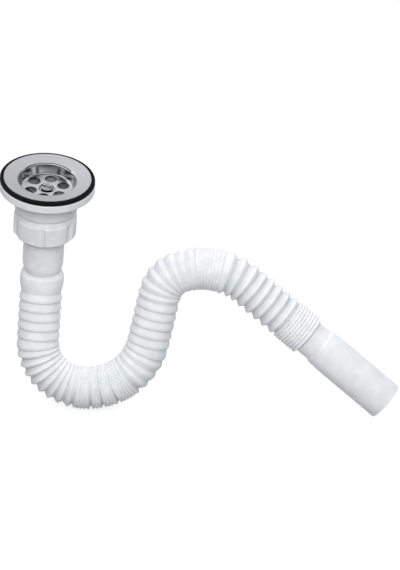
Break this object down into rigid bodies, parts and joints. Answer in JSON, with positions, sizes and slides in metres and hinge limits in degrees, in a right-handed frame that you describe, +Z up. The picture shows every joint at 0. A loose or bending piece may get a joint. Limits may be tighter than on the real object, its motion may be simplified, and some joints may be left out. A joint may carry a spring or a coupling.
{
  "type": "corrugated basin trap",
  "caption": "Basin waste with a pressed steel strainer, union nut and an S-bent white bellows hose that forms the water seal and ends in a plain outlet.",
  "frame": {"origin": "on the waste axis, level with the underside of the strainer's edge, where it sits on the basin", "axes": "+Z up the waste axis out of the drain, +X from the waste towards the outlet, +Y to the wall side"},
  "size_m": [0.3297, 0.0846, 0.1968],
  "materials": {
    "stainless_sheet": "satin",
    "stainless_screw": "satin",
    "brass": "satin",
    "rubber": "matte",
    "white_moulding": "satin",
    "white_nut": "satin",
    "washer_rubber": "matte",
    "white_hose": "satin"
  },
  "bodies": {
    "waste": {"waste_body": "white_moulding", "clamp_nut": "brass", "flange_gasket": "rubber"},
    "strainer_plate": {"strainer": "stainless_sheet"},
    "screw": {"clamp_screw": "stainless_screw"},
    "hose": {"corrugated_hose": "white_hose", "union_washer": "washer_rubber"},
    "coupling_nut": {"union_nut": "white_nut"}
  },
  "joints": [
    {"name": "strainer_lift", "type": "slide", "parent": "waste", "child": "strainer_plate", "axis": [0, 0, 1], "range_m": [0, 0.01]},
    {"name": "screw_turn", "type": "hinge", "parent": "strainer_plate", "child": "screw", "pos_m": [0, 0, 0], "axis": [0, 0, 1], "range_deg": [0, 3600]},
    {"name": "hose_drop", "type": "slide", "parent": "waste", "child": "hose", "axis": [0, 0, -1], "range_m": [0, 0.00924]},
    {"name": "nut_turn", "type": "hinge", "parent": "hose", "child": "coupling_nut", "pos_m": [0, 0, -0.04], "axis": [0, 0, -1], "range_deg": [0, 1440]}
  ],
  "couplings": [
    {"joint": "screw_turn", "follows": "strainer_lift", "rad_per_m": 6283.2},
    {"joint": "nut_turn", "follows": "hose_drop", "rad_per_m": 2721.2}
  ]
}
